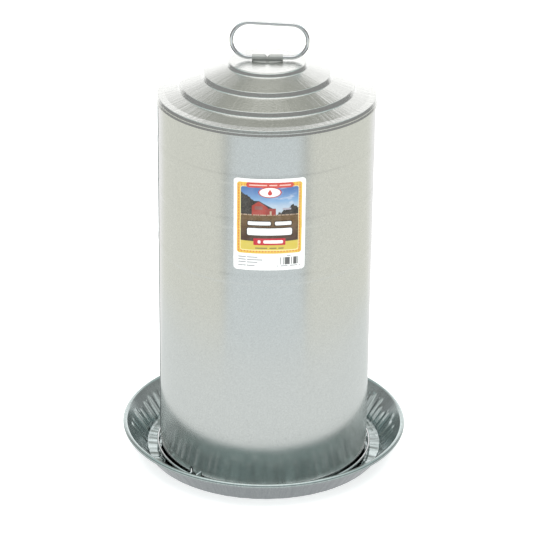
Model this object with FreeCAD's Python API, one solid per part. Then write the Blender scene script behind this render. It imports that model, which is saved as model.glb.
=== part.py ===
import FreeCAD, Part
import math
import os

from FreeCAD import Vector

os.makedirs("parts", exist_ok=True)

# Double-wall vacuum fount for poultry. All sizes in millimetres, +Z up.
# The origin is the middle of the underside of the pan. The front is -Y, and
# an azimuth is counted from the front, positive towards +X.

UP = Vector(0, 0, 1)
CENTRE = Vector(0, 0, 0)
LEFT = 1
RIGHT = -1
SHORTEST_LINE = 0.02

# Pan: a shallow dish with a flared wall and a wired, rolled rim.
PAN_SHEET = 0.8
PAN_RIM_RADIUS = 208.3
PAN_HEIGHT = 43.3
PAN_BEAD_RADIUS = 3.5
PAN_FLOOR_RADIUS = 172.3
PAN_CORNER = 5.0

# Inner tank: an open can of about 30 litres that is soldered to the pan.
TANK_SHEET = 0.6
TANK_RADIUS = 140.0
TANK_TOP = 499.8
TANK_CURL = 2.0
TANK_BOTTOM_FLANGE = 7.2
TANK_SOLDER_WIDTH = 1.2
TANK_SOLDER_HEIGHT = 1.2

# Outer shell: a bell that slides over the tank and holds the vacuum.
SHELL_SHEET = 0.6
SHELL_RADIUS = 152.4
SHELL_BOTTOM = 11.5
SHELL_HEM = 8.0
RIB_HEIGHTS = (334.0, 417.0, 482.0)
RIB_RELIEF = 0.7
RIB_HALF_BASE = 8.0
RIB_HALF_CREST = 5.0
SEAM_BOTTOM = 544.5
SEAM_RADIUS = 155.0
SEAM_TOP = 555.4
ROOF_DISC = 601.5

# Vertical lock seams, at the back of the tank and on the left of the shell.
LOCK_SEAM_WIDTH = 8.0
LOCK_SEAM_RELIEF = 0.9
SHELL_SEAM_AZIMUTH = -91.0

# Wire valve lever, hinged on the tank at the front left.
VALVE_AZIMUTH = -40.35
HOOP_RADIUS = 156.7
HOOP_HEIGHT = 8.3
HOOP_WIRE = 1.5
HOOP_END_SPREAD = 3.5
HINGE_RADIUS = 147.5
HINGE_HEIGHT = 16.0
HINGE_SPREAD = 10.0
HINGE_PIN_END = 17.5
HINGE_CLEARANCE = 0.06
HINGE_NOSE = 2.3
LEVER_SWING = 7.0
WIRE_BEND = 3.0
EAR_INSIDE = 14.0
EAR_SHEET = 1.0
OUTLET_HEIGHT = 7.2
OUTLET_BORE = 3.0
SEAT_SHANK = 4.0
SEAT_FLANGE = 5.0
SEAT_FACE = 141.3
STOPPER_RADIUS = 4.5
STOPPER_FACE = 141.5
ARM_INSIDE = 143.5
ARM_SHEET = 0.8
BRACKET_TOP = HINGE_HEIGHT + 4.5
BRACKET_RIVET_ANGLE = 2.9
BRACKET_RIVET = 1.0
STOPPER_RIVET = 1.0

# Notches in the bottom edge of the shell, for the two legs of the lever:
# sideways place, width and height of the top, seen from the front.
NOTCHES = ((-7.2, 7.0, 19.0), (7.2, 11.0, 19.0))

# Lugs on which the shell stands.
LUG_AZIMUTHS = (20.0, 120.0, 240.0)
LUG_WIDTH = 14.0
LUG_SHEET = 1.2
LUG_GAP = 0.3
LUG_REACH = 153.0

# Handle and the rolled clip that carries it.
HANDLE_WIRE = 2.9
HANDLE_AXIS = 606.0
HANDLE_LEFT = -50.4
HANDLE_RIGHT = 55.8
HANDLE_TOP_LEFT = 657.8
HANDLE_TOP_RIGHT = 652.6
HANDLE_BEND_LEFT = 25.2
HANDLE_BEND_RIGHT = 23.5
HANDLE_END_GAP = 4.6
CLIP_LENGTH = 43.0
CLIP_WIDTH = 26.0
CLIP_SHEET = 0.8
SLEEVE_RADIUS = 4.2
SLEEVE_BORE = 3.0
CLIP_NOTCH = 4.4
CLIP_RIVET_OFFSET = 9.0

# Paper label on the front of the shell.
LABEL_AZIMUTH = 2.0
LABEL_WIDTH = 98.0
LABEL_BOTTOM = 350.0
LABEL_TOP = 486.0
LABEL_CORNER = 5.0
LABEL_SHEET = 0.2


def rounded_path(points, radii):
    """Edges along a polyline, with a tangent arc at each inner corner."""
    edges = []
    start = points[0]
    for before, corner, after, radius in zip(points, points[1:], points[2:], radii):
        arrive = (corner - before).normalize()
        leave = (after - corner).normalize()
        turn = arrive.getAngle(leave)
        if radius <= 0:
            edges.append(Part.LineSegment(start, corner).toShape())
            start = corner
            continue
        reach = radius * math.tan(turn / 2)
        rise = radius / math.cos(turn / 2) - radius
        arc_start = corner - arrive * reach
        arc_end = corner + leave * reach
        arc_middle = corner + (leave - arrive).normalize() * rise
        if start.distanceToPoint(arc_start) > SHORTEST_LINE:
            edges.append(Part.LineSegment(start, arc_start).toShape())
            start = arc_start
        edges.append(Part.Arc(start, arc_middle, arc_end).toShape())
        start = arc_end
    edges.append(Part.LineSegment(start, points[-1]).toShape())
    return edges


def offset_path(points, radii, distance, side):
    """The same bends, moved sideways by a sheet's thickness."""
    turned = [Vector(-side * (b - a).z, 0, side * (b - a).x).normalize()
              for a, b in zip(points, points[1:])]
    moved = [points[0] + turned[0] * distance]
    moved_radii = []
    for index, radius in enumerate(radii):
        first, second = turned[index], turned[index + 1]
        mitre = (first + second) * (distance / (1 + first.dot(second)))
        moved.append(points[index + 1] + mitre)
        bend = first.x * second.z - first.z * second.x
        new_radius = radius - side * math.copysign(distance, bend)
        moved_radii.append(new_radius if radius > 0 and new_radius > 0.05 else 0)
    moved.append(points[-1] + turned[-1] * distance)
    return moved, moved_radii


def sheet_profile(outline, thickness, side):
    """Face of a folded sheet from (radius, height, bend) points of its surface."""
    points = [Vector(radius, 0, height) for radius, height, bend in outline]
    radii = [bend for radius, height, bend in outline[1:-1]]
    moved, moved_radii = offset_path(points, radii, thickness, side)
    edges = rounded_path(points, radii)
    edges.append(Part.LineSegment(points[-1], moved[-1]).toShape())
    edges.extend(rounded_path(moved[::-1], moved_radii[::-1]))
    edges.append(Part.LineSegment(moved[0], points[0]).toShape())
    return Part.Face(Part.Wire(edges))


def turned_sheet(outline, thickness, side):
    return sheet_profile(outline, thickness, side).revolve(CENTRE, UP, 360)


def tube_ring(radius, height, section):
    ring = Part.makeTorus(radius, section)
    ring.translate(Vector(0, 0, height))
    return ring


def arc_block(inner, outer, bottom, top, width, azimuth):
    """Piece of a cylindrical wall that is centred on an azimuth."""
    spread = math.degrees(width / outer)
    corners = [Vector(inner, 0, bottom), Vector(outer, 0, bottom),
               Vector(outer, 0, top), Vector(inner, 0, top)]
    face = Part.Face(Part.makePolygon(corners + corners[:1]))
    block = face.revolve(CENTRE, UP, spread)
    block.rotate(CENTRE, UP, azimuth - 90 - spread / 2)
    return block


def front_rod(radius, near, far, sideways=0.0, height=0.0):
    """Cylinder that points out through the front, from near to far radius."""
    return Part.makeCylinder(radius, far - near, Vector(sideways, -near, height),
                             Vector(0, -1, 0))


def at_valve(shape):
    shape.rotate(CENTRE, UP, VALVE_AZIMUTH)
    return shape


def opened(shape):
    """Piece of the lever, drawn where it shuts the outlet, turned to its open rest."""
    shape.rotate(Vector(0, -HINGE_RADIUS, HINGE_HEIGHT), Vector(1, 0, 0), -LEVER_SWING)
    return at_valve(shape)


def wire_along(edges, radius):
    path = Part.Wire(edges)
    start = path.Edges[0]
    heading = start.tangentAt(start.FirstParameter)
    circle = Part.Wire(Part.makeCircle(radius, start.valueAt(start.FirstParameter), heading))
    return path.makePipeShell([circle], True, False)


def pan_rim_corner():
    """Radius at which the line of the flared wall meets the top of the rim."""
    crest = PAN_RIM_RADIUS - PAN_BEAD_RADIUS
    corner = crest
    for step in range(8):
        slope = math.atan2(PAN_HEIGHT - PAN_SHEET, corner - PAN_FLOOR_RADIUS)
        corner = crest - PAN_BEAD_RADIUS * math.tan(slope / 2)
    return corner


def make_pan():
    bead = PAN_BEAD_RADIUS
    outline = [
        (0, PAN_SHEET, 0),
        (PAN_FLOOR_RADIUS, PAN_SHEET, PAN_CORNER),
        (pan_rim_corner(), PAN_HEIGHT, bead),
        (PAN_RIM_RADIUS, PAN_HEIGHT, bead),
        (PAN_RIM_RADIUS, PAN_HEIGHT - 2 * bead, bead),
        (PAN_RIM_RADIUS - 1.2 * bead, PAN_HEIGHT - 2 * bead, 0),
    ]
    return turned_sheet(outline, PAN_SHEET, RIGHT)


def make_pan_rim_wire():
    section = PAN_BEAD_RADIUS - PAN_SHEET - 0.05
    return tube_ring(PAN_RIM_RADIUS - PAN_BEAD_RADIUS, PAN_HEIGHT - PAN_BEAD_RADIUS, section)


def make_tank_wall():
    curl = 2 * TANK_CURL
    outline = [
        (TANK_RADIUS, PAN_SHEET, 0),
        (TANK_RADIUS, TANK_TOP, TANK_CURL),
        (TANK_RADIUS + curl, TANK_TOP, TANK_CURL),
        (TANK_RADIUS + curl, TANK_TOP - curl, 0.9 * TANK_CURL),
        (TANK_RADIUS + 0.5 * TANK_CURL, TANK_TOP - curl, 0),
    ]
    wall = turned_sheet(outline, TANK_SHEET, LEFT)
    seam = arc_block(TANK_RADIUS - 0.1, TANK_RADIUS + LOCK_SEAM_RELIEF, 4.0,
                     TANK_TOP - 3 * TANK_CURL, LOCK_SEAM_WIDTH, 180)
    outlet = front_rod(SEAT_SHANK + 0.05, TANK_RADIUS - 5, TANK_RADIUS + 5, 0, OUTLET_HEIGHT)
    wall = wall.fuse(seam).cut(at_valve(outlet))
    return wall.cut(bracket_rivet_holes())


def make_tank_rim_wire():
    return tube_ring(TANK_RADIUS + TANK_CURL, TANK_TOP - TANK_CURL, TANK_CURL - 0.05)


def make_tank_bottom():
    inside = TANK_RADIUS - TANK_SHEET - 0.05
    flange = inside - TANK_SHEET
    outline = [
        (0, PAN_SHEET + TANK_SHEET, 0),
        (flange, PAN_SHEET + TANK_SHEET, 1.5),
        (flange, PAN_SHEET + TANK_BOTTOM_FLANGE, 0),
    ]
    disc = turned_sheet(outline, TANK_SHEET, RIGHT)
    outlet = front_rod(SEAT_SHANK + 0.05, TANK_RADIUS - 5, TANK_RADIUS + 5, 0, OUTLET_HEIGHT)
    return disc.cut(at_valve(outlet))


def make_foot_solder():
    corners = [
        Vector(TANK_RADIUS, 0, PAN_SHEET),
        Vector(TANK_RADIUS + TANK_SOLDER_WIDTH, 0, PAN_SHEET),
        Vector(TANK_RADIUS, 0, PAN_SHEET + TANK_SOLDER_HEIGHT),
    ]
    return Part.Face(Part.makePolygon(corners + corners[:1])).revolve(CENTRE, UP, 360)


def make_rest_lug(azimuth):
    """Bent strip: a foot on the pan, a riser and a shelf under the shell."""
    shelf = SHELL_BOTTOM - LUG_GAP
    near = TANK_RADIUS + TANK_SOLDER_WIDTH + 0.3
    outline = [
        (LUG_REACH, PAN_SHEET + LUG_SHEET, 0),
        (near + LUG_SHEET, PAN_SHEET + LUG_SHEET, 0.8),
        (near + LUG_SHEET, shelf - LUG_SHEET, 0.8),
        (LUG_REACH, shelf - LUG_SHEET, 0),
    ]
    spread = math.degrees(LUG_WIDTH / LUG_REACH)
    lug = sheet_profile(outline, LUG_SHEET, LEFT).revolve(CENTRE, UP, spread)
    lug.rotate(CENTRE, UP, azimuth - 90 - spread / 2)
    return lug


def make_rest_lugs():
    return Part.makeCompound([make_rest_lug(azimuth) for azimuth in LUG_AZIMUTHS])


def make_valve_seat():
    flange = front_rod(SEAT_FLANGE, TANK_RADIUS, SEAT_FACE, 0, OUTLET_HEIGHT)
    shank = front_rod(SEAT_SHANK, TANK_RADIUS - 1.6, SEAT_FACE, 0, OUTLET_HEIGHT)
    bore = front_rod(OUTLET_BORE, TANK_RADIUS - 3, SEAT_FACE + 1, 0, OUTLET_HEIGHT)
    return at_valve(flange.fuse(shank).cut(bore))


def bracket_rivet_rods(radius, near, far):
    rods = []
    for angle in (-BRACKET_RIVET_ANGLE, BRACKET_RIVET_ANGLE):
        rod = front_rod(radius, near, far, 0, HINGE_HEIGHT + 1.2)
        rod.rotate(CENTRE, UP, angle)
        rods.append(at_valve(rod))
    return rods


def bracket_rivet_holes():
    return Part.makeCompound(bracket_rivet_rods(BRACKET_RIVET + 0.05, TANK_RADIUS - 4,
                                                TANK_RADIUS + 4))


def hinge_plate(left, thickness, root):
    """Upright plate with a round nose about the hinge axis and a root behind it."""
    plate = Part.makeBox(thickness, root, 2 * HINGE_NOSE,
                         Vector(left, -HINGE_RADIUS, HINGE_HEIGHT - HINGE_NOSE))
    nose = Part.makeCylinder(HINGE_NOSE, thickness, Vector(left, -HINGE_RADIUS, HINGE_HEIGHT),
                             Vector(1, 0, 0))
    return plate.fuse(nose)


def make_hinge_bracket():
    """Plate curved to the tank, with two ears that carry the lever's pins."""
    ear_outside = EAR_INSIDE + EAR_SHEET
    bracket = arc_block(TANK_RADIUS, TANK_RADIUS + EAR_SHEET, HINGE_HEIGHT - HINGE_NOSE,
                        BRACKET_TOP, 2 * ear_outside, 0)
    root = HINGE_RADIUS - TANK_RADIUS + 0.2
    for left in (-ear_outside, EAR_INSIDE):
        bracket = bracket.fuse(hinge_plate(left, EAR_SHEET, root))
    pin = Part.makeCylinder(HOOP_WIRE + HINGE_CLEARANCE, 4 * EAR_INSIDE,
                            Vector(-2 * EAR_INSIDE, -HINGE_RADIUS, HINGE_HEIGHT),
                            Vector(1, 0, 0))
    return at_valve(bracket.cut(pin)).cut(bracket_rivet_holes())


def make_bracket_rivets():
    outside = TANK_RADIUS + EAR_SHEET
    inside = TANK_RADIUS - TANK_SHEET
    shanks = bracket_rivet_rods(BRACKET_RIVET, inside - 0.5, outside + 0.5)
    heads = bracket_rivet_rods(1.9 * BRACKET_RIVET, outside, outside + 0.8)
    tails = bracket_rivet_rods(1.7 * BRACKET_RIVET, inside - 0.8, inside - 0.02)
    return Part.makeCompound([shank.fuse(head).fuse(tail)
                              for shank, head, tail in zip(shanks, heads, tails)])


def lever_leg():
    """Points of the lever's right leg, from the hinge pin to the hoop."""
    reach = 5.4
    swing = (HOOP_END_SPREAD + reach) / HOOP_RADIUS
    hairpin = (HOOP_RADIUS - HOOP_END_SPREAD * math.sin(swing)) / math.cos(swing)
    return [
        Vector(HINGE_PIN_END, -HINGE_RADIUS, HINGE_HEIGHT),
        Vector(HINGE_SPREAD, -HINGE_RADIUS, HINGE_HEIGHT),
        Vector(HOOP_END_SPREAD, -hairpin, HOOP_HEIGHT),
        Vector(HOOP_RADIUS * math.sin(swing), -HOOP_RADIUS * math.cos(swing), HOOP_HEIGHT),
    ]


def make_valve_hoop():
    right = lever_leg()
    left = [Vector(-point.x, point.y, point.z) for point in right]
    bends = [WIRE_BEND, WIRE_BEND]
    edges = rounded_path(right, bends)
    back = Vector(0, HOOP_RADIUS, HOOP_HEIGHT)
    edges.append(Part.Arc(right[-1], back, left[-1]).toShape())
    edges.extend(rounded_path(left[::-1], bends))
    return at_valve(wire_along(edges, HOOP_WIRE))


def make_valve_arm():
    """Pressed channel on the lever's pins, with a tongue for the stopper."""
    half = EAR_INSIDE - 1.0
    bottom = HINGE_HEIGHT - HINGE_NOSE
    outside = ARM_INSIDE + ARM_SHEET
    arm = Part.makeBox(2 * half, ARM_SHEET, 2 * HINGE_NOSE, Vector(-half, -outside, bottom))
    tongue_half = STOPPER_RADIUS + 0.4
    tongue = Part.makeBox(2 * tongue_half, ARM_SHEET, bottom - OUTLET_HEIGHT,
                          Vector(-tongue_half, -outside, OUTLET_HEIGHT))
    arm = arm.fuse(tongue).fuse(front_rod(tongue_half, ARM_INSIDE, outside, 0, OUTLET_HEIGHT))
    for left in (-half, half - ARM_SHEET):
        arm = arm.fuse(hinge_plate(left, ARM_SHEET, HINGE_RADIUS - ARM_INSIDE))
    pin = Part.makeCylinder(HOOP_WIRE + 0.02, 4 * half,
                            Vector(-2 * half, -HINGE_RADIUS, HINGE_HEIGHT), Vector(1, 0, 0))
    rivet = front_rod(STOPPER_RIVET + 0.02, ARM_INSIDE - 1, outside + 1, 0, OUTLET_HEIGHT)
    return opened(arm.cut(pin).cut(rivet).removeSplitter())


def make_stopper():
    plug = front_rod(STOPPER_RADIUS, STOPPER_FACE, ARM_INSIDE, 0, OUTLET_HEIGHT)
    socket = front_rod(STOPPER_RIVET + 0.02, STOPPER_FACE + 0.7, ARM_INSIDE + 1, 0,
                       OUTLET_HEIGHT)
    return opened(plug.cut(socket))


def make_stopper_rivet():
    outside = ARM_INSIDE + ARM_SHEET
    shank = front_rod(STOPPER_RIVET, STOPPER_FACE + 0.8, outside + 0.3, 0, OUTLET_HEIGHT)
    head = front_rod(2 * STOPPER_RIVET, outside, outside + 0.7, 0, OUTLET_HEIGHT)
    return opened(shank.fuse(head))


def shell_outline():
    """Outside of the shell: folded hem, plain wall, ribs and the roof hook."""
    outside = SHELL_RADIUS
    leaf = outside - 2 * SHELL_SHEET - 0.1
    outline = [
        (leaf, SHELL_BOTTOM + SHELL_HEM, 0),
        (leaf, SHELL_BOTTOM, 0.6),
        (outside, SHELL_BOTTOM, 0.6),
    ]
    for height in RIB_HEIGHTS:
        crest = outside + RIB_RELIEF
        outline.append((outside, height - RIB_HALF_BASE, 6))
        outline.append((crest, height - RIB_HALF_CREST, 6))
        outline.append((crest, height + RIB_HALF_CREST, 6))
        outline.append((outside, height + RIB_HALF_BASE, 6))
    hook = SEAM_RADIUS - 2 * SHELL_SHEET - 0.1
    fold = SEAM_TOP - 2 * SHELL_SHEET - 0.1
    outline.append((outside, fold, 0.3))
    outline.append((hook, fold, 0.3))
    outline.append((hook, SEAM_BOTTOM + 2, 0))
    return outline


def notch_tool(sideways, width, top):
    """Upright slot with a round top, through the front of the shell."""
    arch = width / 2
    near = SHELL_RADIUS - 6
    depth = 12
    slot = Part.makeBox(width, depth, top - arch, Vector(sideways - arch, -near - depth, 0))
    tip = front_rod(arch, near, near + depth, sideways, top - arch)
    return at_valve(slot.fuse(tip))


def make_shell_wall():
    wall = turned_sheet(shell_outline(), SHELL_SHEET, LEFT)
    seam = arc_block(SHELL_RADIUS - 0.1, SHELL_RADIUS + LOCK_SEAM_RELIEF, SHELL_BOTTOM + 1,
                     SEAM_BOTTOM - 1, LOCK_SEAM_WIDTH, SHELL_SEAM_AZIMUTH)
    wall = wall.fuse(seam)
    for sideways, width, top in NOTCHES:
        wall = wall.cut(notch_tool(sideways, width, top))
    return wall


def clip_rivet_rods(radius, bottom, top):
    return [Part.makeCylinder(radius, top - bottom, Vector(0, side * CLIP_RIVET_OFFSET, bottom))
            for side in (-1, 1)]


def make_roof():
    """Stepped roof with a flat disc on top, folded over the shell's hook."""
    leg = SHELL_RADIUS + 0.3
    outline = [
        (0, ROOF_DISC, 0),
        (54.2, ROOF_DISC, 1.6),
        (56.2, 595.6, 2.0),
        (88.8, 585.2, 2.4),
        (91.0, 578.8, 2.4),
        (120.8, 568.6, 2.4),
        (123.0, 562.2, 2.4),
        (143.0, 556.6, 6.0),
        (SEAM_RADIUS, SEAM_TOP, 1.2),
        (SEAM_RADIUS, SEAM_BOTTOM, 1.0),
        (leg, SEAM_BOTTOM, 0.4),
        (leg, SEAM_TOP - 2.2, 0),
    ]
    roof = turned_sheet(outline, SHELL_SHEET, RIGHT)
    for hole in clip_rivet_rods(1.25, ROOF_DISC - 5, ROOF_DISC + 5):
        roof = roof.cut(hole)
    return roof


def make_seam_gasket():
    """Sealing compound between the two folds of the roof seam."""
    inside = SHELL_RADIUS + 0.3 + SHELL_SHEET + 0.05
    outside = SEAM_RADIUS - 2 * SHELL_SHEET - 0.15
    bottom = SEAM_BOTTOM + 2.5
    height = 5.0
    outer = Part.makeCylinder(outside, height, Vector(0, 0, bottom))
    return outer.cut(Part.makeCylinder(inside, height, Vector(0, 0, bottom)))


def make_handle_clip():
    """Oval plate with a rolled sleeve on top, notched in the middle."""
    oval = Part.Ellipse(Vector(0, 0, ROOF_DISC), CLIP_LENGTH / 2, CLIP_WIDTH / 2)
    plate = Part.Face(Part.Wire(oval.toShape())).extrude(UP * CLIP_SHEET)
    along = Vector(1, 0, 0)
    end = Vector(-CLIP_LENGTH / 2, 0, HANDLE_AXIS)
    sleeve = Part.makeCylinder(SLEEVE_RADIUS, CLIP_LENGTH, end, along)
    neck_half = 2.4
    neck_foot = ROOF_DISC + CLIP_SHEET / 2
    neck = Part.makeBox(0.8 * CLIP_LENGTH, 2 * neck_half, HANDLE_AXIS - neck_foot,
                        Vector(-0.4 * CLIP_LENGTH, -neck_half, neck_foot))
    bore = Part.makeCylinder(SLEEVE_BORE, 2 * CLIP_LENGTH, end - along * CLIP_LENGTH / 2, along)
    back = SLEEVE_RADIUS + 1
    top = HANDLE_AXIS + SLEEVE_RADIUS + 0.5
    corners = [Vector(-CLIP_NOTCH, -back, top), Vector(CLIP_NOTCH, -back, top),
               Vector(0, -back, HANDLE_AXIS - 1.0)]
    notch = Part.Face(Part.makePolygon(corners + corners[:1])).extrude(Vector(0, 2 * back, 0))
    clip = plate.fuse(sleeve).fuse(neck).cut(bore).cut(notch)
    for hole in clip_rivet_rods(1.25, ROOF_DISC - 5, ROOF_DISC + 5):
        clip = clip.cut(hole)
    return clip


def make_clip_rivets():
    under = ROOF_DISC - SHELL_SHEET
    over = ROOF_DISC + CLIP_SHEET
    shanks = clip_rivet_rods(1.2, under - 0.4, over + 0.4)
    heads = clip_rivet_rods(2.1, over, over + 0.9)
    tails = clip_rivet_rods(2.1, under - 0.9, under)
    return Part.makeCompound([shank.fuse(head).fuse(tail)
                              for shank, head, tail in zip(shanks, heads, tails)])


def make_label():
    """Paper that follows the wall and its ribs, with rounded corners."""
    wall = [point for point in shell_outline() if LABEL_BOTTOM - 40 < point[1] < LABEL_TOP + 40]
    skin = turned_sheet(wall, LABEL_SHEET, RIGHT)
    half = LABEL_WIDTH / 2
    middle = Vector(0, -SHELL_RADIUS + 20, LABEL_BOTTOM)
    corners = [middle + Vector(half, 0, 0),
               middle + Vector(half, 0, LABEL_TOP - LABEL_BOTTOM),
               middle + Vector(-half, 0, LABEL_TOP - LABEL_BOTTOM),
               middle + Vector(-half, 0, 0)]
    loop = [middle] + corners + [middle]
    outline = Part.Wire(rounded_path(loop, [LABEL_CORNER] * 4))
    window = Part.Face(outline).extrude(Vector(0, -40, 0))
    label = skin.common(window)
    label.rotate(CENTRE, UP, LABEL_AZIMUTH)
    return label


def make_handle():
    """Bent wire loop whose two ends meet inside the sleeve of the clip."""
    points = [
        Vector(-HANDLE_END_GAP, 0, HANDLE_AXIS),
        Vector(HANDLE_LEFT, 0, HANDLE_AXIS),
        Vector(HANDLE_LEFT, 0, HANDLE_TOP_LEFT),
        Vector(HANDLE_RIGHT, 0, HANDLE_TOP_RIGHT),
        Vector(HANDLE_RIGHT, 0, HANDLE_AXIS),
        Vector(HANDLE_END_GAP, 0, HANDLE_AXIS),
    ]
    bends = [HANDLE_BEND_LEFT] * 2 + [HANDLE_BEND_RIGHT] * 2
    return wire_along(rounded_path(points, bends), HANDLE_WIRE)


PARTS = {
    "pan": make_pan,
    "pan_rim_wire": make_pan_rim_wire,
    "tank_wall": make_tank_wall,
    "tank_rim_wire": make_tank_rim_wire,
    "tank_bottom": make_tank_bottom,
    "foot_solder": make_foot_solder,
    "rest_lugs": make_rest_lugs,
    "valve_seat": make_valve_seat,
    "hinge_bracket": make_hinge_bracket,
    "bracket_rivets": make_bracket_rivets,
    "valve_hoop": make_valve_hoop,
    "valve_arm": make_valve_arm,
    "stopper": make_stopper,
    "stopper_rivet": make_stopper_rivet,
    "shell_wall": make_shell_wall,
    "roof": make_roof,
    "seam_gasket": make_seam_gasket,
    "handle_clip": make_handle_clip,
    "clip_rivets": make_clip_rivets,
    "label": make_label,
    "handle": make_handle,
}

for name, make in PARTS.items():
    shape = make()
    box = shape.BoundBox
    print(name, "valid" if shape.isValid() else "NOT VALID", len(shape.Solids), "solids",
          round(shape.Volume), "mm3", round(box.ZMin, 2), "to", round(box.ZMax, 2))
    shape.exportStep("parts/" + name + ".step")
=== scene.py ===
import math

import bmesh
import bpy
import numpy as np
from mathutils import Matrix, Vector


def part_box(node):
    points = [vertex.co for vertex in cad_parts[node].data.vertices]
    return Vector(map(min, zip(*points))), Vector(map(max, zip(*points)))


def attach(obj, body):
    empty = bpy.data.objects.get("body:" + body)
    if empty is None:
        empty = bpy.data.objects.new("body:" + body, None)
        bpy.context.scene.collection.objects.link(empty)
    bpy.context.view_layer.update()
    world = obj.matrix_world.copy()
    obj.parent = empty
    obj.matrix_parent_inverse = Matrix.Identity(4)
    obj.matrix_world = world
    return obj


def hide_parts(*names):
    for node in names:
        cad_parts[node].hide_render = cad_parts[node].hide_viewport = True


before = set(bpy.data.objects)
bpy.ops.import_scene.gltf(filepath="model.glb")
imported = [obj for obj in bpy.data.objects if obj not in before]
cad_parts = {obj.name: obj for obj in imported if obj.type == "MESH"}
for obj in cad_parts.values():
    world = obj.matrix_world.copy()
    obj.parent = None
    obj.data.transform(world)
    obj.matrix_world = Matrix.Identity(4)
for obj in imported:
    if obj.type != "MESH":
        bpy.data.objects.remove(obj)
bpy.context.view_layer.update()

MM = 0.001
FULL = 2 * math.pi
LEFT = 1
RIGHT = -1


# ---------------------------------------------------------------- sizes, mm

def size_of(node):
    low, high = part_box(node)
    return low / MM, high / MM


pan_high = size_of("pan")[1]
PAN_SHEET = 0.8
PAN_RIM = pan_high.x
PAN_TOP = pan_high.z
PAN_BEAD = 3.5
PAN_FLOOR = 172.3

shell_low = size_of("shell_wall")[0]
SHELL_SHEET = 0.6
SHELL_RADIUS = 152.4
SHELL_BOTTOM = shell_low.z
RIB_HEIGHTS = (334.0, 417.0, 482.0)
RIB_RELIEF = 0.3
RIB_HALF = 9.0

roof_low = size_of("roof")[0]
SEAM_BOTTOM = roof_low.z
LOCK_SEAM_AZIMUTH = math.radians(-91.0)
ROOF_DISC = 601.5

VALVE_AZIMUTH = math.radians(-40.35)
NOTCHES = ((-7.2, 7.0, 19.0), (7.2, 11.0, 19.0))

LABEL_AZIMUTH = math.radians(2.0)
label_low, label_high = size_of("label")
LABEL_WIDTH = 98.0
LABEL_BOTTOM = label_low.z
LABEL_HEIGHT = label_high.z - label_low.z


# ------------------------------------------------------------ mesh building

def rounded(corners, arc_step=9.0, line_step=3.0):
    """Sampled path along (radius, height, bend) corners with tangent arcs."""
    points = [np.array(corners[0][:2], float)]

    def run_to(target):
        start = points[-1]
        length = np.linalg.norm(target - start)
        if length < 1e-6:
            return
        count = max(1, math.ceil(length / line_step))
        for index in range(1, count + 1):
            points.append(start + (target - start) * index / count)

    for before, corner, after in zip(corners, corners[1:], corners[2:]):
        place = np.array(corner[:2], float)
        arrive = place - np.array(before[:2], float)
        leave = np.array(after[:2], float) - place
        arrive /= np.linalg.norm(arrive)
        leave /= np.linalg.norm(leave)
        turn = math.acos(max(-1.0, min(1.0, float(arrive @ leave))))
        bend = corner[2]
        if bend <= 0 or turn < 1e-4:
            run_to(place)
            continue
        reach = bend * math.tan(turn / 2)
        run_to(place - arrive * reach)
        inward = (leave - arrive) / np.linalg.norm(leave - arrive)
        middle = place + inward * bend / math.cos(turn / 2)
        spoke = place - arrive * reach - middle
        spin = math.copysign(turn, arrive[0] * leave[1] - arrive[1] * leave[0])
        count = max(2, math.ceil(math.degrees(turn) / arc_step))
        for index in range(1, count + 1):
            angle = spin * index / count
            c, s = math.cos(angle), math.sin(angle)
            points.append(middle + np.array([c * spoke[0] - s * spoke[1],
                                             s * spoke[0] + c * spoke[1]]))
    run_to(np.array(corners[-1][:2], float))
    return np.array(points)


def other_skin(path, thickness, side):
    """The path moved sideways by the sheet's thickness."""
    along = np.diff(path, axis=0)
    along /= np.linalg.norm(along, axis=1)[:, None]
    normals = np.stack([-along[:, 1], along[:, 0]], 1) * side
    first = np.vstack([normals[:1], normals])
    second = np.vstack([normals, normals[-1:]])
    mitre = (first + second) / (1 + np.sum(first * second, 1))[:, None]
    return path + mitre * thickness


def new_object(name, vertices, faces, materials):
    mesh = bpy.data.meshes.new(name)
    mesh.from_pydata(vertices, [], faces)
    mesh.validate()
    piece = bpy.data.objects.new(name, mesh)
    bpy.context.collection.objects.link(piece)
    for material in materials:
        mesh.materials.append(material)
    return piece


def smooth(piece, angle=40):
    mesh = piece.data
    mesh.shade_smooth()
    mesh.set_sharp_from_angle(angle=math.radians(angle))
    return piece


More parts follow.
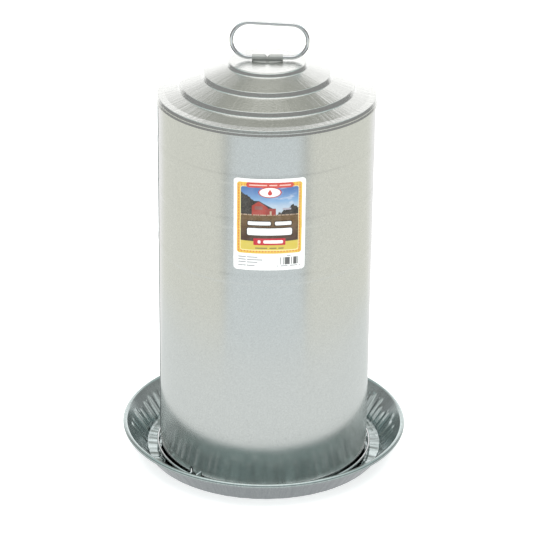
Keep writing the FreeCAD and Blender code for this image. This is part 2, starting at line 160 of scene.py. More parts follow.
def lathe_sheet(name, path, thickness, side, azimuths, material, warp=None, share=1.0):
    """Closed sheet of revolution. warp(azimuth, radius, height) gives (dr, dz), of which
    the back skin takes a share."""
    back = other_skin(path, thickness, side)
    azimuths = np.asarray(azimuths)
    columns, rows = len(azimuths), len(path)
    angle, radius = np.meshgrid(azimuths, path[:, 0], indexing="ij")
    height = np.meshgrid(azimuths, path[:, 1], indexing="ij")[1]
    shift_r = np.zeros_like(radius)
    shift_z = np.zeros_like(radius)
    if warp:
        shift_r, shift_z = warp(angle, radius, height)
    skins = []
    for skin, part in ((path, 1.0), (back, share)):
        r = skin[:, 0][None, :] + part * shift_r
        z = skin[:, 1][None, :] + part * shift_z
        r = np.where(skin[:, 0][None, :] < 1e-6, 0, r)
        skins.append(np.stack([r * np.sin(angle), -r * np.cos(angle), z], -1).reshape(-1, 3))
    vertices = np.vstack(skins) * MM
    total = columns * rows
    faces = []
    for i in range(columns):
        near, far = i * rows, (i + 1) % columns * rows
        for j in range(rows - 1):
            faces.append((near + j, far + j, far + j + 1, near + j + 1))
            faces.append((total + near + j, total + near + j + 1,
                          total + far + j + 1, total + far + j))
        for j in (0, rows - 1):
            faces.append((near + j, total + near + j, total + far + j, far + j))
    piece = new_object(name, vertices.tolist(), faces, [material])
    work = bmesh.new()
    work.from_mesh(piece.data)
    if path[0, 0] < 1e-6:
        bmesh.ops.remove_doubles(work, verts=work.verts, dist=1e-7)
    bmesh.ops.recalc_face_normals(work, faces=work.faces)
    work.to_mesh(piece.data)
    work.free()
    return smooth(piece)


def even(count):
    return np.arange(count) * FULL / count


def waves(angle, lowest, highest, seed, fall=1.0):
    """Smooth random function round the circle, about -1 to 1."""
    source = np.random.RandomState(seed)
    total = np.zeros_like(angle)
    weight = 0.0
    for number in range(lowest, highest + 1):
        size = number ** -fall
        total = total + size * np.cos(number * angle + source.uniform(0, FULL))
        weight += size * size
    return total / math.sqrt(weight)


def fade(value, start, end):
    """0 before start, 1 after end, smooth between."""
    t = np.clip((value - start) / (end - start), 0, 1)
    return t * t * (3 - 2 * t)


# ---------------------------------------------------------------- materials

class Num:
    """A number in a node tree, with the usual arithmetic."""

    def __init__(self, tree, socket):
        self.tree, self.socket = tree, socket

    def math(self, operation, *others):
        node = self.tree.nodes.new("ShaderNodeMath")
        node.operation = operation
        for slot, value in zip(node.inputs, (self, *others)):
            if isinstance(value, Num):
                self.tree.links.new(value.socket, slot)
            else:
                slot.default_value = value
        return Num(self.tree, node.outputs[0])

    def __add__(self, other):
        return self.math("ADD", other)

    def __sub__(self, other):
        return self.math("SUBTRACT", other)

    def __mul__(self, other):
        return self.math("MULTIPLY", other)

    def __truediv__(self, other):
        return self.math("DIVIDE", other)

    def __lt__(self, other):
        return self.math("LESS_THAN", other)

    def __gt__(self, other):
        return self.math("GREATER_THAN", other)

    def flip(self):
        """One minus the number."""
        return self.math("MULTIPLY_ADD", -1.0, 1.0)

    def near(self, middle, reach):
        """1 within reach of middle, else 0."""
        return self.math("COMPARE", middle, reach)

    def size(self):
        return self.math("ABSOLUTE")

    def limit(self, low):
        return self.math("MAXIMUM", low)

    def rise(self, start, end, low=0.0, high=1.0):
        """low before start, high after end, smooth between."""
        node = self.tree.nodes.new("ShaderNodeMapRange")
        node.interpolation_type = "SMOOTHSTEP"
        self.tree.links.new(self.socket, node.inputs["Value"])
        for key, value in (("From Min", start), ("From Max", end), ("To Min", low),
                           ("To Max", high)):
            node.inputs[key].default_value = value
        return Num(self.tree, node.outputs["Result"])


def material(name):
    made = bpy.data.materials.new(name)
    made.use_nodes = True
    tree = made.node_tree
    return made, tree, tree.nodes["Principled BSDF"]


def add(tree, kind, **values):
    node = tree.nodes.new(kind)
    for key, value in values.items():
        if key in node.inputs:
            node.inputs[key].default_value = value
        else:
            setattr(node, key, value)
    return node


def object_place(tree, stretch=(1, 1, 1)):
    place = add(tree, "ShaderNodeTexCoord")
    mapping = add(tree, "ShaderNodeMapping", Scale=stretch)
    tree.links.new(place.outputs["Object"], mapping.inputs["Vector"])
    return mapping.outputs["Vector"]


def split_place(tree, kind="Object"):
    place = add(tree, "ShaderNodeTexCoord")
    parts = add(tree, "ShaderNodeSeparateXYZ")
    tree.links.new(place.outputs[kind], parts.inputs["Vector"])
    return [Num(tree, parts.outputs[axis]) for axis in "XYZ"]


def ramp(tree, source, stops):
    node = add(tree, "ShaderNodeValToRGB")
    band = node.color_ramp
    while len(band.elements) < len(stops):
        band.elements.new(0.5)
    for element, (position, colour) in zip(band.elements, stops):
        element.position = position
        element.color = (*colour, 1)
    tree.links.new(source, node.inputs["Fac"])
    return node.outputs["Color"]


def blend(tree, factor, under, over, mode="MIX"):
    """Colour mix; factor is a Num or a number, colours are sockets or triples."""
    node = add(tree, "ShaderNodeMix", data_type="RGBA", blend_type=mode)
    if isinstance(factor, Num):
        tree.links.new(factor.socket, node.inputs[0])
    else:
        node.inputs[0].default_value = factor
    for slot, value in ((node.inputs[6], under), (node.inputs[7], over)):
        if isinstance(value, tuple):
            slot.default_value = (*value, 1)
        else:
            tree.links.new(value, slot)
    return node.outputs[2]


def bump(tree, shader, layers):
    """Stacks (height output, strength, distance in metres) into the normal."""
    normal = None
    for height, strength, distance in layers:
        node = add(tree, "ShaderNodeBump", Strength=strength, Distance=distance)
        tree.links.new(height, node.inputs["Height"])
        if normal:
            tree.links.new(normal, node.inputs["Normal"])
        normal = node.outputs["Normal"]
    tree.links.new(normal, shader.inputs["Normal"])


def radial_noise(tree, scale, detail=3.0):
    """Noise that runs out from the upright axis, so that it streaks radially."""
    x, y, z = split_place(tree)
    radius = (x * x + y * y).math("SQRT").limit(0.001)
    place = add(tree, "ShaderNodeCombineXYZ")
    tree.links.new((x / radius).socket, place.inputs["X"])
    tree.links.new((y / radius).socket, place.inputs["Y"])
    tree.links.new((radius * 0.4 + z * 0.4).socket, place.inputs["Z"])
    noise = add(tree, "ShaderNodeTexNoise", Scale=scale, Detail=detail)
    tree.links.new(place.outputs["Vector"], noise.inputs["Vector"])
    return noise.outputs["Fac"]


def galvanised(name, tone, roughness=(0.2, 0.26), grain=0.2, waves_deep=0.0006, brushed=0.0,
               pleated=False, painted_underside_shade=None, metallic=1.0):
    """Zinc-coated sheet: faint spangle in the colour, fine grain, soft waves.

    brushed adds radial streaks, pleated adds radial pleats and a mottled skin, and
    the colour given for the faces that look down darkens and tints them, a painted shade.
    """
    made, tree, shader = material(name)
    place = object_place(tree)
    spangle = add(tree, "ShaderNodeTexVoronoi", Scale=170.0)
    cloud = add(tree, "ShaderNodeTexNoise", Scale=11.0, Detail=5.0, Roughness=0.6)
    speck = add(tree, "ShaderNodeTexNoise", Scale=520.0, Detail=3.0, Roughness=0.6)
    wave = add(tree, "ShaderNodeTexNoise", Scale=9.0, Detail=1.0)
    for node in (spangle, cloud, speck, wave):
        tree.links.new(place, node.inputs["Vector"])
    low = tuple(0.95 * channel for channel in tone)
    high = tuple(min(1.0, 1.04 * channel) for channel in tone)
    crystal = ramp(tree, spangle.outputs["Color"], [(0.1, low), (0.9, high)])
    patch = ramp(tree, cloud.outputs["Fac"], [(0.3, low), (0.7, high)])
    dim = tuple(0.86 * channel for channel in tone)
    light = tuple(min(1.0, 1.12 * channel) for channel in tone)
    fine = ramp(tree, speck.outputs["Fac"], [(0.3, dim), (0.7, light)])
    mixed = blend(tree, 0.5, blend(tree, 0.6, crystal, patch), fine)
    rough = Num(tree, cloud.outputs["Fac"]).rise(0.3, 0.7, *roughness)
    tree.links.new(rough.socket, shader.inputs["Roughness"])
    if brushed:
        streaks = radial_noise(tree, 70.0)
        shade = ramp(tree, streaks, [(0.3, (0.86, 0.86, 0.86)), (0.7, (1.0, 1.0, 1.0))])
        mixed = blend(tree, brushed, mixed, shade, "MULTIPLY")
        drawn = ramp(tree, radial_noise(tree, 26.0, 1.0),
                     [(0.4, (0.66, 0.66, 0.66)), (0.6, (1.0, 1.0, 1.0))])
        low_down = split_place(tree)[2].rise(0.022, 0.034).flip()
        inside = split_place(tree, "Normal")[2] > 0.0
        mixed = blend(tree, low_down * inside * brushed, mixed, drawn, "MULTIPLY")
    # Faces that look down get a darker, less teal colour: painted shade.
    if painted_underside_shade:
        facing_down = split_place(tree, "Normal")[2] < 0.0
        mixed = blend(tree, facing_down, mixed, blend(tree, 1.0, mixed, painted_underside_shade, "MULTIPLY"))
    tree.links.new(mixed, shader.inputs["Base Color"])
    layers = [(wave.outputs["Fac"], 0.5, waves_deep),
              (spangle.outputs["Distance"], 0.5 * grain, 0.00005),
              (speck.outputs["Fac"], grain, 0.00005)]
    if pleated:
        hide = add(tree, "ShaderNodeTexNoise", Scale=320.0, Detail=2.0, Distortion=0.6)
        tree.links.new(place, hide.inputs["Vector"])
        layers += [(radial_noise(tree, 28.0), 0.6, 0.0004),
                   (hide.outputs["Fac"], 0.6, 0.00026)]
    bump(tree, shader, layers)
    shader.inputs["Metallic"].default_value = metallic
    return made


def plain(name, colour, roughness, metallic=0.0, grain=0.2, scale=500.0):
    """One colour with a fine uneven surface."""
    made, tree, shader = material(name)
    place = object_place(tree)
    noise = add(tree, "ShaderNodeTexNoise", Scale=scale, Detail=4.0)
    tree.links.new(place, noise.inputs["Vector"])
    low = tuple(0.9 * channel for channel in colour)
    high = tuple(min(1.0, 1.07 * channel) for channel in colour)
    tree.links.new(ramp(tree, noise.outputs["Fac"], [(0.3, low), (0.7, high)]),
                   shader.inputs["Base Color"])
    if grain:
        bump(tree, shader, [(noise.outputs["Fac"], grain, 0.0001)])
    shader.inputs["Roughness"].default_value = roughness
    shader.inputs["Metallic"].default_value = metallic
    return made


def printed_label():
    """Paper label with a generic print: farm yard, plain bars and a drop."""
    made, tree, shader = material("label_print")
    x, y, z = split_place(tree)
    angle = x.math("ARCTAN2", y * -1.0)
    across = (angle - LABEL_AZIMUTH) * (SHELL_RADIUS / LABEL_WIDTH) + 0.5
    down = (z * (-1 / (LABEL_HEIGHT * MM))) + (LABEL_BOTTOM + LABEL_HEIGHT) / LABEL_HEIGHT

    def noise(stretch_x, stretch_y, detail=3.0):
        place = add(tree, "ShaderNodeCombineXYZ")
        tree.links.new((across * stretch_x).socket, place.inputs["X"])
        tree.links.new((down * stretch_y).socket, place.inputs["Y"])
        node = add(tree, "ShaderNodeTexNoise", Scale=1.0, Detail=detail)
        tree.links.new(place.outputs["Vector"], node.inputs["Vector"])
        return Num(tree, node.outputs["Fac"])

    def box(x0, x1, y0, y1):
        return (across.near((x0 + x1) / 2, (x1 - x0) / 2)
                * down.near((y0 + y1) / 2, (y1 - y0) / 2))

    def round_box(x0, x1, y0, y1, corner):
        """Corner is given in millimetres."""
        cx = ((across - (x0 + x1) / 2).size() * LABEL_WIDTH
              - ((x1 - x0) / 2 * LABEL_WIDTH - corner)).limit(0.0)
        cy = ((down - (y0 + y1) / 2).size() * LABEL_HEIGHT
              - ((y1 - y0) / 2 * LABEL_HEIGHT - corner)).limit(0.0)
        return (cx * cx + cy * cy) < corner * corner

    def oval(cx, cy, rx, ry):
        u, v = (across - cx) / rx, (down - cy) / ry
        return (u * u + v * v) < 1.0

    colour = (0.92, 0.92, 0.91)

    def lay(mask, paint):
        nonlocal colour
        colour = blend(tree, mask, colour, paint)

    lay(round_box(0.04, 0.955, 0.04, 0.815, 4.0), (0.78, 0.50, 0.055))
    wide, tall = across * (LABEL_WIDTH / 4.2), down * (LABEL_HEIGHT / 4.2)
    beads = (((wide.math("FRACT") - 0.5).size() * 2.0 < 0.45)
             * ((tall.math("FRACT") - 0.5).size() * 2.0 < 0.8))
    lay(beads * round_box(0.05, 0.945, 0.05, 0.805, 3.0), (0.72, 0.24, 0.045))
    lay(round_box(0.086, 0.912, 0.083, 0.784, 3.5), (0.84, 0.78, 0.40))
    picture = round_box(0.094, 0.904, 0.089, 0.775, 3.0)
    sky = ramp(tree, down.rise(0.08, 0.36).socket,
               [(0.0, (0.07, 0.17, 0.42)), (0.6, (0.22, 0.39, 0.62)), (1.0, (0.50, 0.58, 0.66))])
    cloud = noise(7.0, 26.0).rise(0.5, 0.75, 0.0, 0.5) * across.rise(0.4, 0.7)
    lay(picture, blend(tree, cloud, sky, (0.72, 0.74, 0.78)))
    leaves = noise(45.0, 60.0).rise(0.3, 0.75)
    tree_tone = blend(tree, leaves, (0.018, 0.016, 0.014), (0.075, 0.06, 0.045))
    edge = noise(30.0, 18.0) * 0.09
    left_wood = down > (across * 0.5 + edge + 0.055)
    lay(picture * left_wood * (across < 0.33), tree_tone)
    right_wood = down > (edge + 0.24 + (across - 0.83).size() * 0.45)
    lay(picture * right_wood * (across > 0.6), tree_tone)
    lay(box(0.68, 0.80, 0.318, 0.338), (0.42, 0.40, 0.47))
    roof_edge = (across - 0.36) * 0.42 + 0.245
    gable = down > ((across - 0.345).size() * 0.52 + 0.245)
    lay(box(0.30, 0.58, 0.24, 0.40) * (down > roof_edge), (0.035, 0.032, 0.04))
    lay(box(0.25, 0.47, 0.24, 0.40) * gable, (0.40, 0.045, 0.030))
    lay(box(0.44, 0.585, 0.322, 0.40), (0.33, 0.042, 0.030))
    lay(box(0.29, 0.40, 0.297, 0.335), (0.26, 0.10, 0.085))
    lay(box(0.50, 0.525, 0.35, 0.40), (0.50, 0.38, 0.28))
    soil = noise(38.0, 70.0).rise(0.3, 0.7)
    field = blend(tree, down.rise(0.42, 0.68), (0.19, 0.105, 0.035), (0.085, 0.038, 0.022))
    field = blend(tree, soil * 0.5, field, (0.045, 0.030, 0.014))
    lay(picture * (down > 0.397), field)
    fence = (noise(60.0, 3.0).rise(0.42, 0.5)) * down.near(0.393, 0.006)
    lay(picture * fence, (0.45, 0.32, 0.22))
    lay(picture * (down > ((across - 0.5) * (across - 0.5) * -0.04 + 0.682)),
        (0.66, 0.52, 0.075))

    def bars(pieces, y0, y1, paint, corner, rim=None):
        for x0, x1 in pieces:
            if rim:
                lay(round_box(x0 - 0.012, x1 + 0.012, y0 - 0.009, y1 + 0.009, corner + 1.0), rim)
        for x0, x1 in pieces:
            lay(round_box(x0, x1, y0, y1, corner), paint)

    dark = (0.035, 0.016, 0.012)
    white = (0.92, 0.92, 0.91)
    bars([(0.195, 0.515), (0.575, 0.805)], 0.463, 0.502, white, 1.5, dark)
    bars([(0.185, 0.815)], 0.535, 0.615, white, 2.5, dark)
    lay(round_box(0.275, 0.725, 0.648, 0.722, 1.0), (0.55, 0.012, 0.030))
    bars([(0.335, 0.375), (0.415, 0.69)], 0.668, 0.703, white, 1.5)
    bars([(0.30, 0.47), (0.50, 0.60), (0.625, 0.70)], 0.748, 0.762, (0.28, 0.21, 0.06), 0.6)
    lay(round_box(0.17, 0.83, 0.04, 0.098, 3.6), (0.62, 0.055, 0.035))
    bars([(0.21, 0.46), (0.49, 0.60), (0.63, 0.79)], 0.063, 0.077, (0.85, 0.55, 0.48), 0.7)
    lay(oval(0.5, 0.148, 0.162, 0.058), (0.55, 0.045, 0.035))
    lay(oval(0.5, 0.148, 0.146, 0.050), white)
    drop_side = (down - 0.115) * (LABEL_HEIGHT / LABEL_WIDTH) * 0.55
    lay(((across - 0.5).size() < drop_side) * box(0.45, 0.55, 0.115, 0.155),
        (0.60, 0.045, 0.035))
    lay(oval(0.5, 0.158, 0.030, 0.021), (0.60, 0.045, 0.035))
    grey = (0.34, 0.34, 0.36)
    for row, reach in ((0.857, 0.335), (0.885, 0.405), (0.913, 0.335), (0.949, 0.295)):
        bars([(0.062, 0.17), (0.185, reach)], row - 0.0055, row + 0.0055, grey, 0.5)
    lines = add(tree, "ShaderNodeTexWhiteNoise", noise_dimensions="1D")
    tree.links.new((across * 100.0).math("FLOOR").socket, lines.inputs["W"])
    code = Num(tree, lines.outputs["Value"]) > 0.5
    lay(code * box(0.64, 0.91, 0.858, 0.938), (0.13, 0.13, 0.13))
    bars([(0.745, 0.80)], 0.838, 0.847, grey, 0.4)
    bars([(0.61, 0.63), (0.66, 0.76), (0.79, 0.90), (0.92, 0.94)], 0.948, 0.957, grey, 0.4)
    wear = noise(9.0, 12.0).rise(0.3, 0.8, 0.0, 0.06)
    tree.links.new(blend(tree, wear, colour, (0.80, 0.79, 0.76)), shader.inputs["Base Color"])
    fibre = add(tree, "ShaderNodeTexNoise", Scale=700.0, Detail=3.0)
    tree.links.new(object_place(tree), fibre.inputs["Vector"])
    bump(tree, shader, [(fibre.outputs["Fac"], 0.1, 0.00005)])
    shader.inputs["Roughness"].default_value = 0.5
    return made


shell_metal = galvanised("shell_zinc", (0.70, 0.705, 0.695))
roof_metal = galvanised("roof_zinc", (0.70, 0.705, 0.685), roughness=(0.18, 0.25), grain=0.5,
                        pleated=True)
# The pan's downward faces are darkened as painted shade.
pan_metal = galvanised("pan_zinc", (0.535, 0.60, 0.595), roughness=(0.12, 0.2), grain=0.4,
                       brushed=0.8, painted_underside_shade=(0.88, 0.84, 0.85))
tank_metal = galvanised("tank_zinc", (0.60, 0.61, 0.60), roughness=(0.2, 0.3))
clip_metal = galvanised("clip_zinc", (0.50, 0.505, 0.485), roughness=(0.38, 0.48), metallic=0.5)
# Darker zinc on the lock seam stands in for the shade in its crevice: painted shade.
seam_painted_shade_metal = galvanised("seam_zinc_painted_shade", (0.42, 0.43, 0.43), roughness=(0.3, 0.4))
wire_metal = plain("wire_zinc", (0.82, 0.82, 0.83), 0.14, 1.0, 0.1)
rivet_metal = plain("rivet_zinc", (0.6, 0.6, 0.59), 0.3, 1.0)
solder_metal = plain("solder_tin", (0.42, 0.43, 0.44), 0.45, 1.0, 0.4)
brass_metal = plain("seat_brass", (0.60, 0.43, 0.18), 0.35, 1.0)
rubber = plain("rubber_black", (0.025, 0.025, 0.025), 0.7, 0.0, 0.3)
paper = printed_label()


# ---------------------------------------------------------------------- pan

def rim_corner():
    """Radius at which the flared wall, run up to the rim's height, meets the bead."""
    crest = PAN_RIM - PAN_BEAD
    corner = crest
    for step in range(8):
        slope = math.atan2(PAN_TOP - PAN_SHEET, corner - PAN_FLOOR)
        corner = crest - PAN_BEAD * math.tan(slope / 2)
    return corner


FLUTES = 84
FLUTE_DEPTH = 1.2


def flute_field(angle, height):
    """Drawn ridges on the flared wall: they rise from the corner and fade out."""
    source = np.random.RandomState(21)
    total = np.zeros_like(angle)
    rise = (height - PAN_SHEET) / (PAN_TOP - PAN_SHEET)
    for index in range(FLUTES):
        centre = (index + source.uniform(-0.35, 0.35)) * FULL / FLUTES
        width = source.uniform(0.26, 0.36) * FULL / FLUTES
        top = source.uniform(0.6, 0.82)
        size = source.uniform(0.35, 1.0)
        off = np.angle(np.exp(1j * (angle - centre)))
        tall = (1 - fade(rise, top - 0.12, top)) * fade(rise, -0.02, 0.12)
        total += size * np.exp(-(off / width) ** 4) * tall
    return total


def pan_warp(angle, radius, height):
    """Ridges on the flared wall, pleats round the floor, and a gently uneven floor."""
    wall = flute_field(angle, height) * fade(radius, PAN_FLOOR - 2, PAN_FLOOR + 5)
    slope = math.radians(54)
    shift_r = -FLUTE_DEPTH * wall * math.sin(slope)
    shift_z = FLUTE_DEPTH * wall * math.cos(slope)
    floor = fade(radius, 146, 158) * (1 - fade(radius, PAN_FLOOR + 2, PAN_FLOOR + 8))
    pleats = waves(angle + radius / 500, 28, 62, 5, 0.3)
    shift_z = shift_z + 0.32 * floor * (pleats + 0.9)
    shift_z = shift_z + 0.12 * waves(angle, 2, 7, 7) * fade(radius, 60, 160) * (height < 3)
    return shift_r, np.where(height + shift_z < 0.85, 0.85 - height, shift_z)


def build_pan():
    corners = [
        (0, PAN_SHEET, 0),
        (PAN_FLOOR, PAN_SHEET, 5.0),
        (rim_corner(), PAN_TOP, PAN_BEAD),
        (PAN_RIM, PAN_TOP, PAN_BEAD),
        (PAN_RIM, PAN_TOP - 2 * PAN_BEAD, PAN_BEAD),
        (PAN_RIM - 1.2 * PAN_BEAD, PAN_TOP - 2 * PAN_BEAD, 0),
    ]
    path = rounded(corners, 9, 2.0)
    pan = lathe_sheet("pan_dish", path, PAN_SHEET, RIGHT, even(1100), pan_metal, pan_warp,
                      0.3)
    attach(pan, "base")
    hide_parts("pan")
    return pan


# -------------------------------------------------------------------- shell

def rib_rise(height):
    """Outward rise of the wall at a height: low round-shouldered ribs."""
    rise = np.zeros_like(height)
    for middle in RIB_HEIGHTS:
        off = np.abs(height - middle)
        rise = rise + RIB_RELIEF * (1 - fade(off, RIB_HALF - 5.0, RIB_HALF))
    return rise


def notch_edge(sideways):
    """Height of the shell's lower edge at a place across the two notches."""
    edge = np.full_like(sideways, SHELL_BOTTOM)
    for middle, width, top in NOTCHES:
        arch = width / 2
        off = np.clip(np.abs(sideways - middle) / arch, 0, 1)
        crown = top - arch + arch * np.sqrt(1 - off * off)
        edge = np.where(np.abs(sideways - middle) <= arch, crown, edge)
    return edge


def shell_azimuths():
    """Even columns round the shell, with closer ones over the two notches."""
    plain_columns = even(480)
    near = []
    for middle, width, top in NOTCHES:
        arch = width / 2
        for turn in np.linspace(-math.pi / 2, math.pi / 2, 25):
            near.append(middle + arch * math.sin(turn) * 0.9999)
        near += [middle - arch - 0.02, middle + arch + 0.02]
    extra = VALVE_AZIMUTH + np.array(near) / SHELL_RADIUS
    apart = np.angle(np.exp(1j * (plain_columns - VALVE_AZIMUTH))) * SHELL_RADIUS
    kept = plain_columns[np.abs(apart) > 13.5]
    return np.sort(np.concatenate([kept, extra % FULL]))


def shell_warp(angle, radius, height):
    """Ribs and a slightly uneven wall, and the lower edge drawn up over the notches."""
    across = np.angle(np.exp(1j * (angle - VALVE_AZIMUTH))) * SHELL_RADIUS
    edge = notch_edge(np.where(np.abs(across) < 30, across, 99))
    low = height < 24
    share = np.clip((24 - height) / (24 - SHELL_BOTTOM), 0, 1)
    shift_z = np.where(low, (edge - SHELL_BOTTOM) * share, 0)
    free = fade(height, 20, 60) * (1 - fade(height, 500, 545))
    gentle = 0.10 * waves(angle, 2, 9, 31, 0.8) * np.cos(height / 140)
    gentle = gentle + 0.05 * waves(angle, 5, 19, 32, 0.6) * np.sin(height / 75 + 1)
    return rib_rise(height) + free * gentle - 0.1 * free, shift_z


def build_shell():
    heights = np.concatenate([
        np.linspace(SHELL_BOTTOM, 24, 12),
        np.arange(27, 320, 6.0),
        np.arange(322, 346, 1.0),
        np.arange(350, 405, 5.0),
        np.arange(406, 430, 1.0),
        np.arange(434, 470, 5.0),
        np.arange(471, 495, 1.0),
        np.arange(499, 545, 5.0),
        [554.0],
    ])
    path = np.stack([np.full_like(heights, SHELL_RADIUS), heights], 1)
    shell = lathe_sheet("shell_wall_skin", path, SHELL_SHEET, LEFT, shell_azimuths(),
                        shell_metal, shell_warp)
    seam = build_lock_seam("shell_lock_seam", SHELL_RADIUS, SHELL_BOTTOM + 1.5,
                           SEAM_BOTTOM - 0.5)
    for piece in (shell, seam):
        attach(piece, "shell")
    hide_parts("shell_wall")
    return shell


def build_lock_seam(name, radius, bottom, top):
    """Folded upright seam: a low flat strip with one square and one rounded side."""
    section = [(-4.2, -0.2), (-4.0, 0.6), (-3.2, 1.1), (0, 1.2), (3.4, 1.2), (3.8, 1.0),
               (3.8, -0.2)]
    heights = np.concatenate([[bottom], np.arange(bottom + 2, top - 2, 2.0), [top]])
    vertices, faces = [], []
    for height in heights:
        lift = float(rib_rise(np.array([height]))[0])
        for across, rise in section:
            angle = LOCK_SEAM_AZIMUTH + across / radius
            r = radius + lift + rise
            vertices.append((r * math.sin(angle) * MM, -r * math.cos(angle) * MM, height * MM))
    count = len(section)
    for row in range(len(heights) - 1):
        for index in range(count):
            here, beside = row * count + index, row * count + (index + 1) % count
            faces.append((here, beside, beside + count, here + count))
    faces.append(tuple(range(count))[::-1])
    faces.append(tuple(range((len(heights) - 1) * count, len(heights) * count)))
    # The seam's darker material is painted crevice shade.
    piece = new_object(name, vertices, faces, [seam_painted_shade_metal])
    work = bmesh.new()
    work.from_mesh(piece.data)
    bmesh.ops.recalc_face_normals(work, faces=work.faces)
    work.to_mesh(piece.data)
    work.free()
    return smooth(piece, 50)


# --------------------------------------------------------------------- roof

def roof_warp(angle, radius, height):
    """Pleats next to the seam, small dents along the steps and soft unevenness."""
    outer = fade(radius, 122, 130) * (1 - fade(radius, 150, 153))
    pleat = waves(angle, 50, 160, 41, 0.3) * fade(waves(angle, 3, 11, 42, 0.4), -0.8, 1.2)
    cone = fade(radius, 50, 70) * (1 - fade(radius, 140, 150))
    soft = waves(angle, 2, 8, 43, 0.7)
    dents = waves(angle, 9, 40, 44, 0.5) * fade(radius, 84, 88) * (1 - fade(radius, 126, 134))
    return np.zeros_like(radius), 0.05 * outer * pleat + 0.12 * cone * soft + 0.06 * dents


def build_roof():
    leg = SHELL_RADIUS + 0.5
    corners = [
        (0, ROOF_DISC, 0),
        (54.4, ROOF_DISC, 2.6),
        (56.4, 595.6, 2.6),
        (88.6, 585.4, 1.1),
        (91.0, 578.8, 2.8),
        (120.6, 568.8, 1.1),
        (123.0, 562.2, 2.8),
        (143.0, 556.7, 2.0),
        (152.9, 555.4, 1.5),
        (154.8, 551.2, 1.0),
        (154.3, 550.2, 0.5),
        (155.4, 547.2, 1.5),
        (155.4, 545.2, 1.0),
        (154.2, SEAM_BOTTOM - 0.2, 0.6),
        (leg, SEAM_BOTTOM, 0),
    ]
    path = rounded(corners, 8, 1.5)
    roof = lathe_sheet("roof_skin", path, SHELL_SHEET, RIGHT, even(720), roof_metal, roof_warp)
    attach(roof, "shell")
    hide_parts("roof")
    return roof


# ---------------------------------------------------- pieces kept from CAD

KEPT = {
    "pan_rim_wire": wire_metal,
    "tank_wall": tank_metal,
    "tank_rim_wire": wire_metal,
    "tank_bottom": tank_metal,
    "foot_solder": solder_metal,
    "rest_lugs": tank_metal,
    "valve_seat": brass_metal,
    "hinge_bracket": tank_metal,
    "bracket_rivets": rivet_metal,
    "valve_hoop": wire_metal,
    "valve_arm": tank_metal,
    "stopper": rubber,
    "stopper_rivet": rivet_metal,
    "seam_gasket": rubber,
    "handle_clip": clip_metal,
    "clip_rivets": rivet_metal,
    "label": paper,
    "handle": wire_metal,
}


def dress_kept_nodes():
    for name, made in KEPT.items():
        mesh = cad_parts[name].data
        mesh.materials.clear()
        mesh.materials.append(made)


# ------------------------------------------------------------------- studio

def build_camera():
    """Long lens, 24 degrees above the horizon, in front of the fount."""
    data = bpy.data.cameras.new("camera")
    data.sensor_width = 36.0
    data.lens = 164.4
    data.shift_x = 0.0022
    data.shift_y = -0.0037
    camera = bpy.data.objects.new("camera", data)
    bpy.context.collection.objects.link(camera)
    down = math.radians(90 - 24.31)
    roll = math.radians(0.58)
    camera.matrix_world = (Matrix.Translation((0, -3.1989, 1.7351))
                           @ Matrix.Rotation(down, 4, "X") @ Matrix.Rotation(roll, 4, "Z"))
    data.clip_end = 100
    bpy.context.scene.camera = camera


def build_world():
    """Pale surroundings: bright behind, softer overhead, dim behind the camera."""
    world = bpy.data.worlds.new("studio")
    bpy.context.scene.world = world
    world.use_nodes = True
    tree = world.node_tree
    across, depth, up = split_place(tree, "Generated")
    behind = ramp(tree, up.socket, [
        (0.0, (1.5, 1.5, 1.5)), (0.27, (1.45, 1.45, 1.45)), (0.41, (1.05, 1.05, 1.05)),
        (0.545, (0.84, 0.84, 0.83)), (0.665, (0.52, 0.53, 0.50)), (0.755, (0.34, 0.35, 0.31)),
        (0.82, (0.44, 0.45, 0.40)), (0.87, (0.74, 0.75, 0.69)), (0.95, (0.95, 0.95, 0.92)),
        (1.0, (1.5, 1.5, 1.48))])
    before = ramp(tree, up.socket, [
        (0.0, (0.36, 0.37, 0.37)), (0.2, (0.32, 0.32, 0.32)), (0.42, (0.34, 0.34, 0.33)),
        (0.60, (0.56, 0.66, 0.66)), (0.72, (0.62, 0.80, 0.79)), (0.84, (0.98, 1.0, 0.98)),
        (0.93, (1.4, 1.4, 1.38)), (1.0, (1.5, 1.5, 1.48))])
    level = (across * across + depth * depth).math("SQRT").limit(0.001)
    sideways = across / level
    middle = sideways.size().rise(0.12, 0.24).flip() * up.rise(0.44, 0.56).flip()
    behind = blend(tree, middle, behind, (1.45, 1.45, 1.45))
    window = sideways.rise(0.20, 0.28) * up.rise(0.44, 0.49) * up.rise(0.58, 0.66).flip()
    behind = blend(tree, window * 0.8, behind, (1.4, 1.4, 1.4))
    sky = blend(tree, (depth / level).rise(0.66, 0.92), before, behind)
    tree.links.new(sky, tree.nodes["Background"].inputs["Color"])


def build_floor():
    paint = plain("floor_paint", (0.92, 0.92, 0.92), 0.9, 0.0, 0, 3.0)
    shader = paint.node_tree.nodes["Principled BSDF"]
    shader.inputs["Emission Color"].default_value = (1, 1, 1, 1)
    shader.inputs["Emission Strength"].default_value = 0.6
    half = 20.0
    floor = new_object("studio_floor", [(-half, -half, 0), (half, -half, 0),
                                        (half, half, 0), (-half, half, 0)],
                       [(0, 1, 2, 3)], [paint])


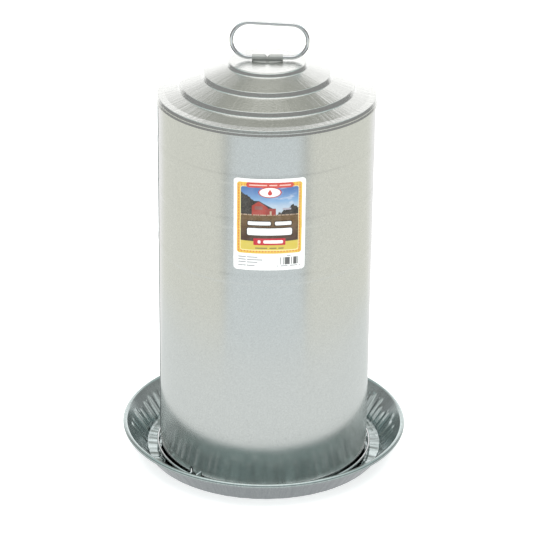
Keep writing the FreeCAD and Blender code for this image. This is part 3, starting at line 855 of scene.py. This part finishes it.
def build_reflection_card():
    """Glowing sheet round the fount that only reflections see, a painted reflection: pale as lit
    paper in front with a dark band to each side, dim beyond it, darker next to the pan as
    painted shadow, and a bright backdrop behind."""
    made = bpy.data.materials.new("reflection_card")
    made.use_nodes = True
    tree = made.node_tree
    tree.nodes.clear()
    x, y, z = split_place(tree)
    radius = (x * x + y * y).math("SQRT")
    turn = x.math("ARCTAN2", y * -1.0) * (180 / math.pi)
    aside = turn.size()
    white, blue, beige = (0.83, 0.87, 0.86), (0.775, 0.84, 0.855), (0.85, 0.86, 0.78)
    lit_paper_glow = blend(tree, aside.rise(36.0, 43.0), blue, beige)
    streak = aside.rise(33.0, 39.5) * aside.rise(40.5, 47.0).flip() * radius.rise(0.55, 1.3)
    lit_paper_glow = blend(tree, streak * 0.6, lit_paper_glow, (0.40, 0.42, 0.40))
    front = blend(tree, radius.rise(0.5, 0.75), white, lit_paper_glow)
    # Darker ring next to the pan: painted shadow of the pan on the floor.
    front = blend(tree, radius.rise(0.2, 0.24), (0.58, 0.59, 0.6), front)
    front = blend(tree, radius.rise(2.2, 4.5), front, (0.25, 0.25, 0.25))
    shade = blend(tree, turn.rise(-167.0, -159.0).flip(), (1.02, 1.02, 1.02), (0.1, 0.1, 0.1))
    back = blend(tree, radius.rise(1.5, 2.5), shade, (1.5, 1.5, 1.5))
    glow = add(tree, "ShaderNodeEmission")
    tree.links.new(blend(tree, aside.rise(128.0, 150.0), front, back), glow.inputs["Color"])
    out = add(tree, "ShaderNodeOutputMaterial")
    tree.links.new(glow.outputs["Emission"], out.inputs["Surface"])
    vertices, faces = [], []
    count = 96
    for reach in (0.172, 20.0):
        for angle in even(count):
            vertices.append((reach * math.sin(angle), -reach * math.cos(angle), 0.0006))
    for index in range(count):
        after = (index + 1) % count
        faces.append((index, index + count, after + count, after))
    card = new_object("reflection_card", vertices, faces, [made])
    card.visible_camera = False
    card.visible_diffuse = False
    card.visible_shadow = False
    card.visible_transmission = False


def build_lamp(name, place, target, width, power):
    """Large soft lamp that lights matt surfaces and stays out of reflections."""
    data = bpy.data.lights.new(name, "AREA")
    data.shape = "DISK"
    data.size = width
    data.energy = power
    lamp = bpy.data.objects.new(name, data)
    bpy.context.collection.objects.link(lamp)
    aim = (Vector(target) - Vector(place)).to_track_quat("-Z", "Y")
    lamp.matrix_world = Matrix.Translation(place) @ aim.to_matrix().to_4x4()
    lamp.visible_glossy = False
    lamp.visible_camera = False


def build_studio():
    build_world()
    build_floor()
    build_reflection_card()
    build_lamp("top_lamp", (0, 0, 5.0), (0, 0, 0), 7.0, 200.0)
    build_lamp("front_lamp", (-1.0, -3.5, 2.2), (0, 0, 0.3), 2.0, 12.0)
    scene = bpy.context.scene
    scene.view_settings.view_transform = "Standard"
    scene.view_settings.look = "None"


build_pan()
build_shell()
build_roof()
dress_kept_nodes()
build_camera()
build_studio()
